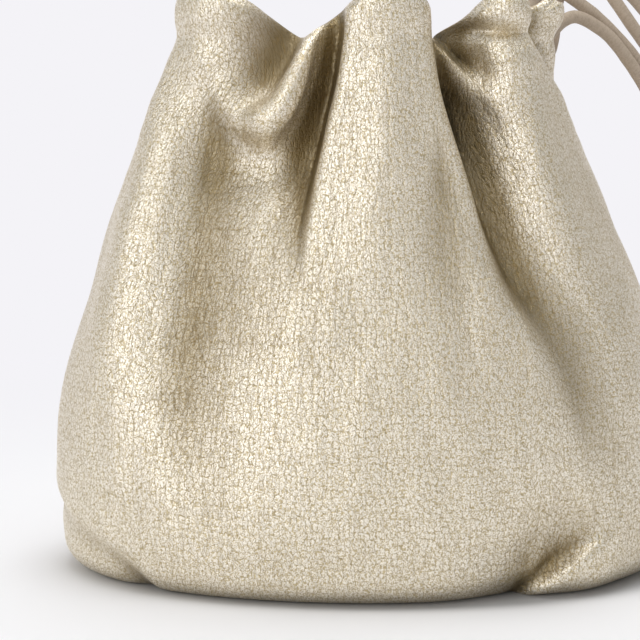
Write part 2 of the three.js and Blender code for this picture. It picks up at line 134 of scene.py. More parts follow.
FOLDS = (
    Fold("left_notch", 0.95, 0.5, ((-20, 1.1, -0.7), (-22, 0.92, -0.75), (-26, 0.86, -0.65),
        (-27.5, 0.82, -0.35), (-27.5, 0.79, 0))),
    Fold("left_cowl", 0.8, 0.8, ((-46, 0.86, 0), (-38, 0.8, 0.2), (-30, 0.775, 0.36), (-24, 0.785, 0.44),
        (-20, 0.82, 0.46), (-17.5, 0.87, 0.42), (-16, 0.92, 0.3), (-15.5, 0.98, 0))),
    Fold("left_gorge", 0.95, 0.32, ((-9.5, 1.1, -0.85), (-9.5, 0.93, -0.95), (-11.5, 0.845, -1.1),
        (-14, 0.765, -1), (-16, 0.69, -0.65), (-17, 0.61, -0.2), (-17, 0.56, 0))),
    Fold("front_lobe", 1.5, 1.5, ((4, 1.1, 0.4), (4.5, 0.8, 0.36), (3, 0.65, 0.22), (0, 0.5, 0))),
    Fold("right_gorge", 0.45, 1.5, ((20, 1.1, -0.8), (21.5, 0.92, -0.95), (24, 0.815, -1.25),
        (27, 0.735, -1.15), (29.5, 0.64, -0.75), (33, 0.53, -0.3), (36, 0.45, 0))),
    Fold("right_crease", 0.8, 1.7, ((26, 0.64, 0), (29, 0.58, -0.22), (36, 0.5, -0.34), (40, 0.435, -0.34),
        (42.5, 0.365, -0.26), (44.5, 0.26, -0.12), (46, 0.19, 0))),
    Fold("right_dimple", 0.32, 0.4, ((24, 1.1, -0.4), (26, 0.925, -0.55), (30, 0.893, -0.6),
        (33.5, 0.866, -0.3), (36, 0.84, 0))),
    Fold("right_cowl", 0.5, 0.5, ((19, 0.94, 0), (22.5, 0.915, 0.15), (26, 0.88, 0.2), (30, 0.848, 0.24),
        (34, 0.82, 0.2), (39, 0.79, 0))),
    Fold("right_lobe", 1.2, 1.2, ((42, 1.1, 0.25), (44, 0.86, 0.25), (47, 0.7, 0.15), (51, 0.54, 0))),
    Fold("side_pleat", 0.6, 0.9, ((50, 1.1, -0.5), (60, 0.935, -0.6), (76, 0.88, -0.5), (88, 0.84, -0.3),
        (97, 0.75, 0))),
    Fold("left_slope", 1.2, 2.6, ((-56, 0.94, 0), (-52, 0.89, -0.28), (-47.5, 0.83, -0.42),
        (-43, 0.74, -0.46), (-39, 0.66, -0.46), (-37.5, 0.57, -0.44), (-37.5, 0.47, -0.4),
        (-35.5, 0.36, -0.34), (-32, 0.26, -0.22), (-28, 0.13, 0))),
    Fold("left_hollow", 1.3, 1.3, ((-44, 0.755, 0), (-36, 0.72, -0.26), (-28, 0.695, -0.38),
        (-21, 0.69, -0.38), (-16, 0.71, -0.15), (-13, 0.73, 0))),
    Fold("left_lobe", 1.3, 1.3, ((-42, 1.1, 0.3), (-48, 0.89, 0.3), (-56, 0.75, 0.25), (-60, 0.62, 0.24),
        (-60, 0.48, 0.22), (-56, 0.34, 0.12), (-52, 0.22, 0))),
    Fold("right_dent", 0.35, 1.9, ((26, -0.05, -0.4), (29, 0.02, -0.44), (33.5, 0.055, -0.42),
        (39, 0.09, -0.3), (47, 0.13, 0))),
    Fold("right_corner", 1.2, 1.2, ((44, -0.05, 0.15), (45, 0.03, 0.15), (48, 0.13, 0))),
    Fold("left_tuck", 0.4, 0.6, ((-46, -0.05, -0.25), (-47, 0.015, -0.2), (-54, 0.05, -0.11),
        (-68, 0.085, -0.09), (-88, 0.118, -0.13), (-104, 0.13, 0))),
    Fold("left_side_pleat", 0.9, 0.8, ((-80, 1.1, -0.5), (-80, 0.92, -0.55), (-84, 0.8, -0.3),
        (-88, 0.66, 0))),
    Fold("left_rear_pleat", 0.9, 0.9, ((-106, 1.1, -0.6), (-107, 0.9, -0.65), (-110, 0.76, -0.4),
        (-112, 0.56, 0))),
    Fold("back_left_pleat", 0.9, 1, ((-157, 1.1, -0.8), (-157, 0.9, -0.8), (-153, 0.75, -0.45),
        (-146, 0.5, 0))),
    Fold("back_right_pleat", 1, 0.9, ((154, 1.1, -0.8), (154, 0.9, -0.8), (152, 0.72, -0.45),
        (147, 0.46, 0))),
    Fold("cord_pleat", 0.8, 0.8, ((120, 1.1, -0.5), (120, 0.9, -0.6), (121, 0.76, -0.3), (124, 0.58, 0))),
    Fold("back_lobe", 1.4, 1.4, ((178, 1.1, 0.25), (178, 0.85, 0.25), (178, 0.6, 0))),
    Fold("back_left_lobe", 1.3, 1.3, ((-128, 1.1, 0.2), (-129, 0.85, 0.2), (-131, 0.6, 0))),
)

# Creases too fine for the CAD solid, in the same terms
CREASES = (
    Fold("lobe_crease", 0.32, 0.32, ((23, 0.91, 0), (27, 0.918, -0.24), (33, 0.927, -0.28),
        (42, 0.928, -0.24), (49, 0.925, -0.1), (55, 0.92, 0))),
    Fold("gorge_tail", 0.22, 0.3, ((-14.5, 0.72, 0), (-15.5, 0.66, -0.1), (-15.8, 0.58, -0.1),
        (-15.4, 0.5, 0))),
)


@dataclass(frozen=True)
class Patch:
    """A soft oval on the wall, by its middle and half sizes in degrees and in shares of the height."""

    angle: float
    height: float
    wide: float
    tall: float
    amount: float


# Painted shade on the leather: where its face is darkened, where it is painted nearly black, and a patch
# painted a darker matte taupe
SHADE_PLACES = (
    Patch(-43, 0.75, 6, 0.08, 0.7), Patch(-18, 0.49, 13, 0.13, 0.35), Patch(18, 0.6, 6, 0.12, 0.5),
    Patch(18.5, 0.76, 4.5, 0.13, 0.7), Patch(-3, 0.88, 4, 0.09, 0.45), Patch(-38, 0.36, 7, 0.1, 0.1),
    Patch(36, 0.05, 6, 0.055, 0.4), Patch(43, 0.09, 6, 0.05, 0.35), Patch(34, 0.95, 9, 0.018, 0.5),
)
DARK_PLACES = (Patch(25, 0.75, 4.5, 0.11, 0.8), Patch(31, 0.05, 3, 0.05, 0.35))
# The matte patch in the left bowl is painted shade
MATTE_SHADE_PLACES = (Patch(-29, 0.905, 9, 0.065, 1.0),)

# Soft waves, small waves and upright gathers: wave length along x, y and z, seed, and height
WAVES = (
    ((0.04, 0.04, 0.05), 3, 0.0003),
    ((0.014, 0.014, 0.02), 5, 0.00004),
    ((0.0065, 0.0065, 0.07), 8, 0.00008),
)


def smooth_curve(keys: Array, values: Array, at: Array) -> Array:
    """Cubic through a table's rows whose slope at a row is that of the line joining its neighbours.

    Between two rows a share t runs from 0 to 1, and the value is the first row times 1 - h, plus the
    second times h, plus the two slopes carried by t(1-t)^2 and t^2(t-1), where h = t^2(3-2t).

    Args:
        keys: Increasing keys of the rows.
        values: One value per row, or one row of values per key.
        at: Keys to read the curve at.

    Returns:
        The values, in the shape of at, with the columns of values behind it.
    """
    wide = values.ndim > 1
    gap = keys[2:] - keys[:-2]
    slopes = np.empty_like(values, dtype=float)
    slopes[1:-1] = (values[2:] - values[:-2]) / (gap[:, None] if wide else gap)
    slopes[0] = (values[1] - values[0]) / (keys[1] - keys[0])
    slopes[-1] = (values[-1] - values[-2]) / (keys[-1] - keys[-2])
    row = np.clip(np.searchsorted(keys, at) - 1, 0, len(keys) - 2)
    span = keys[row + 1] - keys[row]
    t = np.clip((at - keys[row]) / span, 0, 1)
    if wide:
        t, span = t[..., None], span[..., None]
    blend = t * t * (3 - 2 * t)
    ends = values[row] * (1 - blend) + values[row + 1] * blend
    return ends + span * (t * (1 - t) ** 2 * slopes[row] + t * t * (t - 1) * slopes[row + 1])


def smooth_ring(rows: Sequence[tuple[float, float]], angle: Array) -> Array:
    """The same curve round a closed ring: the rows are repeated a turn to either side.

    Args:
        rows: Pairs of angle in degrees and value.
        angle: Angles to read it at, in degrees from -180 to 180.

    Returns:
        The values at those angles.
    """
    table = np.array(rows, float)
    keys = np.concatenate([table[:, 0] + turn for turn in (-360, 0, 360)])
    return smooth_curve(keys, np.tile(table[:, 1], 3), angle)


def soft_step(low: float, high: float, at: Array) -> Array:
    """Share that climbs from 0 at low to 1 at high without a corner: t^2(3-2t)."""
    t = np.clip((at - low) / (high - low), 0, 1)
    return t * t * (3 - 2 * t)


def unit(vectors: Array) -> Array:
    """The vectors along the last axis at length one."""
    return vectors / np.maximum(np.linalg.norm(vectors, axis=-1, keepdims=True), 1e-12)


def ripple(points: Array, wave: Place, seed: int, count: int = 24) -> Array:
    """Smooth unrepeating waves through space: a sum of sines of fixed directions and phases.

    The value at p is the mean of sin(2 pi k.p + phase) times the square root of 2 / count, where each
    k has a normal spread of one over the wave length along each axis.

    Args:
        points: Places, with x, y and z last.
        wave: Typical wave length along x, y and z.
        seed: Fixes the directions and phases.
        count: How many sines are added.

    Returns:
        Values of about -1 to 1.
    """
    chance = np.random.default_rng(seed)
    turns = chance.normal(size=(count, 3)) / np.array(wave)
    phases = chance.uniform(0, 2 * math.pi, count)
    total = np.zeros(points.shape[:-1])
    for turn, phase in zip(turns, phases):
        total += np.sin(2 * math.pi * (points @ turn) + phase)
    return total * math.sqrt(2 / count) / 2


# Meshes


@dataclass(frozen=True)
class Surface:
    """A worked-out surface: its points, its faces, and a map of two numbers per corner of its faces."""

    points: Array
    quads: Array
    triangles: Array
    quad_map: Array
    triangle_map: Array


def lay_mesh(name: str, points: Array, faces: Sequence[Sequence[int]],
             sharp: float = 60) -> bpy.types.Object:
    """Puts worked-out points and faces into a mesh object at the origin, shaded smooth.

    Args:
        name: Name of the piece.
        points: Places of the vertices.
        faces: Vertex numbers of each face, anticlockwise from outside.
        sharp: Angle in degrees past which an edge stays sharp.

    Returns:
        The object, linked to the scene.
    """
    mesh = bpy.data.meshes.new(name)
    mesh.from_pydata(points, [], faces)
    mesh.update()
    mesh.polygons.foreach_set("use_smooth", np.ones(len(mesh.polygons), bool))
    mesh.set_sharp_from_angle(angle=math.radians(sharp))
    thing = bpy.data.objects.new(name, mesh)
    bpy.context.scene.collection.objects.link(thing)
    return thing


def lay_surfaces(name: str, parts: Sequence[Surface]) -> bpy.types.Object:
    """Puts one or more surfaces and their maps into one piece.

    Args:
        name: Name of the piece.
        parts: The surfaces.

    Returns:
        The piece's object.
    """
    starts = np.cumsum([0] + [len(part.points) for part in parts])
    faces: list[Sequence[int]] = []
    charts: list[Array] = []
    for part, start in zip(parts, starts):
        faces += (part.quads + start).tolist() + (part.triangles + start).tolist()
        charts += [part.quad_map.reshape(-1, 2), part.triangle_map.reshape(-1, 2)]
    thing = lay_mesh(name, np.concatenate([part.points for part in parts]), faces)
    chart = thing.data.uv_layers.new(name=CORD_MAP)
    chart.data.foreach_set("uv", np.concatenate(charts).astype(np.float32).ravel())
    return thing


def grid_faces(index: Array) -> Array:
    """Four-sided faces over a grid of numbers whose last column joins its first.

    Args:
        index: Number of each row and column, with rows upwards and columns anticlockwise.

    Returns:
        Four corners for each row and column.
    """
    after = np.roll(index, -1, axis=1)
    return np.stack([index[:-1], after[:-1], after[1:], index[1:]], -1)


def pole_fans(index: Array) -> Array:
    """Triangles that close a grid's first and last rows at two poles, which are numbered after the grid.

    Args:
        index: Number of each row and column.

    Returns:
        Three vertex numbers per triangle, the first row's and then the last row's.
    """
    first, last = index[0], index[-1]
    pole = np.full(len(first), index.size)
    return np.concatenate([np.stack([pole, np.roll(first, -1), first], -1),
                           np.stack([pole + 1, last, np.roll(last, -1)], -1)])


def carried_frames(path: Array) -> tuple[Array, Array, Array]:
    """The direction of a path at each ring, and two directions square to it that don't twist.

    Each ring's first square direction is the one before it, less its part along the path.

    Args:
        path: Centres of the rings.

    Returns:
        The direction along the path and the two square ones, at each ring.
    """
    way = unit(np.gradient(path, axis=0))
    across = np.empty_like(path)
    start = np.cross(way[0], (0.0, 0.0, 1.0))
    across[0] = unit(start if np.linalg.norm(start) > 0.1 else np.cross(way[0], (0.0, 1.0, 0.0)))
    for ring in range(1, len(path)):
        across[ring] = unit(across[ring - 1] - way[ring] * (across[ring - 1] @ way[ring]))
    return way, across, np.cross(way, across)


def running_length(points: Array) -> Array:
    """Distance along a line of points, at each point."""
    return np.concatenate([[0], np.cumsum(np.linalg.norm(np.diff(points, axis=0), axis=1))])


def even_path(route: Sequence[Place], step: float) -> Array:
    """A smooth line through a route's points, in rings an even step apart.

    The curve is smooth_curve over the running length of the straight lines between the points, read
    finely and then again at even shares of its own length.

    Args:
        route: Points of the route.
        step: Rough distance between rings.

    Returns:
        Centres of the rings.
    """
    points = np.array(route, float)
    run = running_length(points)
    fine = smooth_curve(run, points, np.linspace(0, run[-1], 40 * len(points)))
    length = running_length(fine)
    stops = np.linspace(0, length[-1], max(int(round(length[-1] / step)), 4) + 1)
    return np.stack([np.interp(stops, length, fine[:, axis]) for axis in range(3)], -1)


def round_cord(path: Array, radius: float, sides: int = 20, seed: int = 1) -> Surface:
    """A round cord: a circle carried along a path, its ends rounded and closed at a pole.

    A point is the ring's centre plus radius times (across cos(turn) + up sin(turn)), where the radius
    wanders by 3% along the cord. The map holds the distance along it and the share of a turn.

    Args:
        path: Centres of the rings.
        radius: Radius of the cord.
        sides: Sides of the circle.
        seed: Fixes how the radius wanders.

    Returns:
        The cord's surface.
    """
    way, across, up = carried_frames(path)
    turn = (np.arange(sides) * 2 * math.pi / sides)[:, None]
    ring = across[:, None] * np.cos(turn) + up[:, None] * np.sin(turn)
    wander = 1 + 0.03 * ripple(path[:, None] + ring * radius, (0.012, 0.012, 0.012), seed)
    body = path[:, None] + ring * (radius * wander)[..., None]
    soft = 0.3 * radius
    caps = [path[end] + ring[end] * (radius - soft) + side * way[end] * soft
            for end, side in ((0, -1), (-1, 1))]
    rings = np.concatenate([caps[0][None], body, caps[1][None]])
    rows = len(rings)
    index = np.arange(rows * sides).reshape(rows, sides)
    along = np.broadcast_to(running_length(rings.mean(1))[:, None], (rows, sides + 1))
    share = np.broadcast_to(np.arange(sides + 1) / sides, (rows, sides + 1))
    chart = np.stack([along, share], -1)
    quad_map = np.stack([chart[:-1, :-1], chart[:-1, 1:], chart[1:, 1:], chart[1:, :-1]], -2)
    first = np.stack([chart[0, :-1], chart[0, 1:], chart[0, :-1]], -2)
    last = np.stack([chart[-1, :-1], chart[-1, :-1], chart[-1, 1:]], -2)
    points = np.concatenate([rings.reshape(-1, 3), rings[[0, -1]].mean(1)])
    quads = grid_faces(index).reshape(-1, 4)
    return Surface(points, quads, pole_fans(index), quad_map, np.concatenate([first, last]))


# Shader maths


def operator(operation: str, turned: bool = False) -> Callable[["Signal", Any], "Signal"]:
    """Makes an operator that adds a Math node.

    Args:
        operation: The node's operation.
        turned: Whether the signal is the second of the two values.

    Returns:
        The operator.
    """
    def apply(signal: "Signal", other: Any) -> "Signal":
        """The operation on a signal and another value."""
        return signal.desk.maths(operation, *((other, signal) if turned else (signal, other)))

    return apply


@dataclass(frozen=True)
class Signal:
    """A number that varies over a surface, as the socket that carries it. Maths on it adds nodes."""

    desk: "Desk"
    socket: bpy.types.NodeSocket

    __add__ = __radd__ = operator("ADD")
    __sub__ = operator("SUBTRACT")
    __rsub__ = operator("SUBTRACT", turned=True)
    __mul__ = __rmul__ = operator("MULTIPLY")
    __pow__ = operator("POWER")


@dataclass(frozen=True)
class Desk:
    """The node tree of one material or world, with the few ways that nodes are added to it."""

    tree: bpy.types.NodeTree

    def node(self, kind: str, inputs: Mapping[Any, Any], output: Any = 0, **settings: Any) -> Signal:
        """Adds a node.

        Args:
            kind: The node's type, without the prefix that all of them share.
            inputs: Values or signals of its sockets, by name or number.
            output: Name or number of the output wanted.
            **settings: The node's settings.

        Returns:
            The output as a signal.
        """
        made = self.tree.nodes.new("ShaderNode" + kind)
        for key, value in settings.items():
            setattr(made, key, value)
        for key, value in inputs.items():
            if isinstance(value, Signal):
                self.tree.links.new(value.socket, made.inputs[key])
            else:
                made.inputs[key].default_value = value
        return Signal(self, made.outputs[output])

    def maths(self, operation: str, *values: Any) -> Signal:
        """A Math node on signals and numbers."""
        return self.node("Math", dict(enumerate(values)), operation=operation)

    def vector(self, operation: str, *values: Any, output: str = "Vector") -> Signal:
        """A Vector Math node on signals and triples."""
        return self.node("VectorMath", dict(enumerate(values)), output, operation=operation)

    def step(self, value: Signal, low: float, high: float) -> Signal:
        """Share that climbs from 0 at low to 1 at high without a corner."""
        inputs = {"Value": value, "From Min": low, "From Max": high, "To Min": 0.0, "To Max": 1.0}
        return self.node("MapRange", inputs, interpolation_type="SMOOTHSTEP")

    def line(self, value: Signal, half: float) -> Signal:
        """Share that is 1 where a value is a half, and 0 from half a line's width away."""
        return 1 - self.step(self.maths("ABSOLUTE", value - 0.5), 0.0, half)

    def blend(self, share: Any, first: Any, second: Any) -> Signal:
        """A colour between two colours, by a share."""
        colours = [value if isinstance(value, Signal) else (*value, 1) for value in (first, second)]
        return self.node("Mix", {0: share, 6: colours[0], 7: colours[1]}, 2, data_type="RGBA")

    def noise(self, place: Signal, scale: float, detail: float, kind: str = "3D",
              output: str = "Fac") -> Signal:
        """Smooth noise at a place, in space or over a flat map."""
        inputs = {"Vector": place, "Scale": scale, "Detail": detail}
        return self.node("TexNoise", inputs, output, noise_dimensions=kind)

    def cells(self, place: Signal, scale: float, feature: str, loose: float = 1.0) -> Signal:
        """Voronoi cells over a flat map: the distance to a cell's edge or to its middle."""
        inputs = {"Vector": place, "Scale": scale, "Randomness": loose}
        return self.node("TexVoronoi", inputs, "Distance", feature=feature, voronoi_dimensions="2D")


def new_material(name: str) -> tuple[bpy.types.Material, Desk]:
    """A material with an empty node tree.

    Args:
        name: Name of the finish.

    Returns:
        The material and its desk.
    """
    material = bpy.data.materials.new(name)
    material.use_nodes = True
    material.node_tree.nodes.clear()
    return material, Desk(material.node_tree)


def close_material(desk: Desk, surface: Mapping[str, Any], relief: Signal) -> None:
    """Ends a material in one Principled surface, with a bump whose height is in millimetres.

    Args:
        desk: The material's desk.
        surface: Values or signals of the Principled node's sockets.
        relief: Height of the surface's relief in millimetres.
    """
    bump = desk.node("Bump", {"Strength": 1.0, "Distance": 0.001, "Height": relief})
    close_tree(desk, desk.node("BsdfPrincipled", {**surface, "Normal": bump}), "ShaderNodeOutputMaterial")


def close_tree(desk: Desk, shader: Signal, kind: str) -> None:
    """Links a shader to the tree's output node of this type."""
    out = desk.tree.nodes.new(kind)
    desk.tree.links.new(shader.socket, out.inputs["Surface"])


# Finishes


@dataclass(frozen=True)
class PebbledLeather:
    """Shrunken grain under a worn metallic champagne face.

    The grain is a net of crooked pebbles taller than they are wide, each a dome that carries finer
    pebbles, and long upright wrinkles run between them. The metal lies on the tops, and the ochre
    leather shows in the wrinkles and between the pebbles. Three shares of the skin paint shade into its
    valleys and some patches, paint near-black shade into its crevices, and paint a darker taupe shade
    over one patch whose face is also rougher and less metallic.
    """

    cell: float = 0.0016
    finer: float = 3.6
    upright: float = 0.78
    stretch: float = 0.12
    loose: float = 0.8
    bends: tuple[tuple[float, float], ...] = ((300.0, 0.0012), (1300.0, 0.0007))
    gap_width: float = 0.055
    line_width: float = 0.03
    line_scale: float = 480.0
    break_scale: float = 260.0
    dust_scale: float = 2900.0
    silver: Place = (0.97, 0.91, 0.8)
    top: Place = (0.62, 0.52, 0.33)
    groove: Place = (0.30, 0.20, 0.06)
    # Painted shade colour of the valleys
    deep: Place = (0.24, 0.178, 0.08)
    # Near-black painted shade colour of the crevices
    shut: Place = (0.035, 0.026, 0.012)
    # Painted shade colour of the matte patch
    matte: Place = (0.40, 0.33, 0.24)
    dome: float = 0.2
    grit: float = 0.1
    split: float = 0.06
    wrinkle: float = 0.15
    dust: float = 0.1
    shade: float = 0.85

    def make(self) -> bpy.types.Material:
        """Builds the material.

        Returns:
            The leather's material.
        """
        material, desk = new_material("champagne_leather")
        place = desk.node("UVMap", {}, "UV", uv_map=LEATHER_MAP)
        valley, crevice, matte_shade = (desk.node("Attribute", {}, "Fac", attribute_name=name)
                                   for name in (VALLEY, CREVICE, MATTE_SHADE))
        bent = place
        for scale, size in self.bends:
            drift = desk.vector("SUBTRACT", desk.noise(place, scale, 1.0, "2D", "Color"), (0.5, 0.5, 0.5))
            bent = desk.vector("MULTIPLY_ADD", drift, (size, size, 0.0), bent)
        tall, long = (desk.vector("MULTIPLY", bent, (1.0, share, 1.0))
                      for share in (self.upright, self.stretch))
        pebble, gap = (desk.cells(tall, 1 / self.cell, feature, self.loose)
                       for feature in ("F1", "DISTANCE_TO_EDGE"))
        grit = desk.cells(tall, self.finer / self.cell, "F1")
        wrinkle = desk.line(desk.noise(long, self.line_scale, 2.0, "2D"), self.line_width)
        wrinkle = wrinkle * (0.4 + 0.3 * valley + 0.3 * matte_shade)
        broken = desk.step(desk.noise(place, self.break_scale, 2.0, "2D"), 0.36, 0.6)
        net = (1 - desk.step(gap, 0.0, self.gap_width)) * (0.65 + 0.35 * broken)
        dust = desk.noise(place, self.dust_scale, 3.0, "2D")
        relief = ((1 - pebble ** 2.0) * self.dome + (1 - grit ** 2.0) * self.grit - net * self.split
                  - wrinkle * self.wrinkle + dust * self.dust)
        marks = desk.maths("MAXIMUM", net * 0.85, wrinkle)
        bright = 1 - desk.step(grit * 0.9 + pebble * 0.3 + dust * 0.5, 0.62, 0.94)
        colour = desk.blend(bright, self.top, self.silver)
        # Painted shade: deep in the valleys, near black in the crevices, dark taupe in the matte patch; then
        # the grain's own marks
        for share, tint in ((matte_shade * 0.8, self.matte), (valley * self.shade, self.deep),
                            (desk.step(crevice, 0.0, 0.8), self.shut), (marks * 0.68, self.groove)):
            colour = desk.blend(share, colour, tint)
        surface = {
            "Base Color": colour,
            "Metallic": 0.92 - marks * 0.35 - matte_shade * 0.35,
            "Roughness": 0.285 + marks * 0.2 + grit * 0.1 + matte_shade * 0.2,
        }
        close_material(desk, surface, relief)
        return material


@dataclass(frozen=True)
class FleshSide:
    """The napped inner face of the skin, and its cut edge."""

    light: Place = (0.56, 0.46, 0.33)
    dark: Place = (0.40, 0.31, 0.21)
    nap_scale: float = 1500.0
    cloud_scale: float = 70.0

    def make(self) -> bpy.types.Material:
        """Builds the material.

        Returns:
            The flesh side's material.
        """
        material, desk = new_material("flesh_side")
        place = desk.node("TexCoord", {}, "Object")
        nap = desk.noise(place, self.nap_scale, 3.0)
        cloud = desk.noise(place, self.cloud_scale, 3.0)
        colour = desk.blend(desk.step(cloud * 0.6 + nap * 0.4, 0.3, 0.7), self.dark, self.light)
        close_material(desk, {"Base Color": colour, "Roughness": 0.95}, nap * 0.12 + cloud * 0.2)
        return material


@dataclass(frozen=True)
class CordLeather:
    """Matte taupe round cord, rolled from a strip, with a closed seam along it and fine cross creases."""

    light: Place = (0.46, 0.375, 0.285)
    worn: Place = (0.38, 0.305, 0.23)
    dark: Place = (0.27, 0.205, 0.145)
    diameter: float = CORD_DIAMETER
    crease_scale: float = 900.0
    crease_width: float = 0.06
    grain_scale: float = 1700.0
    cloud_scale: float = 160.0
    seam_width: float = 0.022

    def make(self) -> bpy.types.Material:
        """Builds the material.

        Returns:
            The cord leather's material.
        """
        material, desk = new_material("cord_leather")
        chart = desk.node("UVMap", {}, "UV", uv_map=CORD_MAP)
        skin = desk.vector("MULTIPLY", chart, (1.0, math.pi * self.diameter, 1.0))
        place = desk.node("TexCoord", {}, "Object")
        ring = desk.vector("MULTIPLY", skin, (1.0, 0.3, 1.0))
        cross = desk.line(desk.noise(ring, self.crease_scale, 2.0), self.crease_width)
        grain = desk.noise(place, self.grain_scale, 3.0)
        cloud = desk.noise(place, self.cloud_scale, 2.0)
        seam = desk.line(desk.node("SeparateXYZ", {"Vector": chart}, "Y"), self.seam_width)
        marks = desk.maths("MAXIMUM", cross * 0.35, seam * 0.8)
        shade = desk.step(cloud * 0.5 + grain * 0.5, 0.3, 0.7)
        colour = desk.blend(marks, desk.blend(shade * 0.5, self.light, self.worn), self.dark)
        relief = grain * 0.05 - cross * 0.05 - seam * 0.15 + cloud * 0.1
        close_material(desk, {"Base Color": colour, "Roughness": 0.62 + grain * 0.2}, relief)
        return material


@dataclass(frozen=True)
class StudioPaper:
    """Seamless white paper: lit round the pouch, and fading into the wall's even tone further off.

    A painted contact shadow lies where the pouch touches it: a soft dark oval, set off a little
    towards the right and front, whose share is exp(-d^2), where d is the distance outside the oval
    over its reach.
    """

    tone: Place = (0.87, 0.872, 0.89)
    wall: Place = (0.905, 0.896, 0.93)
    dark: Place = (0.02, 0.02, 0.02)
    lit_to: float = 0.14
    faded_from: float = 0.42
    under: Place = (0.006, -0.0035, 0.0)
    under_size: tuple[float, float] = (0.09, 0.049)
    under_reach: float = 0.0045
    shadow_darkness: float = 0.5

    def make(self) -> bpy.types.Material:
        """Builds the material.

        Returns:
            The paper's material.
        """
        material, desk = new_material("studio_paper")
        place = desk.node("TexCoord", {}, "Object")
        far = desk.vector("LENGTH", place, output="Value")
        wide, deep = self.under_size
        oval = desk.vector("MULTIPLY", desk.vector("SUBTRACT", place, self.under), (1 / wide, 1 / deep, 0.0))
        reach = desk.vector("LENGTH", oval, output="Value")
        outside = desk.maths("MAXIMUM", reach - 1, 0.0) * (deep / self.under_reach)
        # Painted contact shadow: darkest inside the oval, fading outside it
        shade = desk.maths("EXPONENT", 0 - outside ** 2.0) * self.shadow_darkness
        tone = desk.blend(shade, self.tone, self.dark)
        paper = desk.node("BsdfPrincipled", {"Base Color": tone, "Roughness": 0.9})
        wall = desk.node("Emission", {"Color": (*self.wall, 1), "Strength": 1.0})
        share = desk.step(far, self.lit_to, self.faded_from)
        close_tree(desk, desk.node("MixShader", {0: share, 1: paper, 2: wall}), "ShaderNodeOutputMaterial")
        return material


# Sub-assemblies


@dataclass(frozen=True)
class Hole:
    """The round hole for the cords: its middle, the angle its axis points at, and its radius."""

    place: Place = (0.0463, 0.0096, 0.163)
    angle: float = 47
    radius: float = 0.00598

    def offset(self, places: Array) -> tuple[Array, Array]:
        """How far places lie out along the hole's axis, and their offset square to it.

        Args:
            places: The places.

        Returns:
            The distances from the hole's middle, and the offsets.
        """
        turn = math.radians(self.angle)
        axis = np.array([math.cos(turn), math.sin(turn), 0.0])
        away = places - np.array(self.place)
        along = away @ axis
        return along, away - along[..., None] * axis

    def point(self, out: float, across: float, up: float) -> Place:
        """A place this far out along the hole's axis, across it and above it.

        Args:
            out: Distance out along the axis.
            across: Distance level across it.
            up: Distance above it.

        Returns:
            The place.
        """
        turn = math.radians(self.angle)
        x, y, z = self.place
        return (x + math.cos(turn) * out + math.sin(turn) * across,
                y + math.sin(turn) * out - math.cos(turn) * across, z + up)


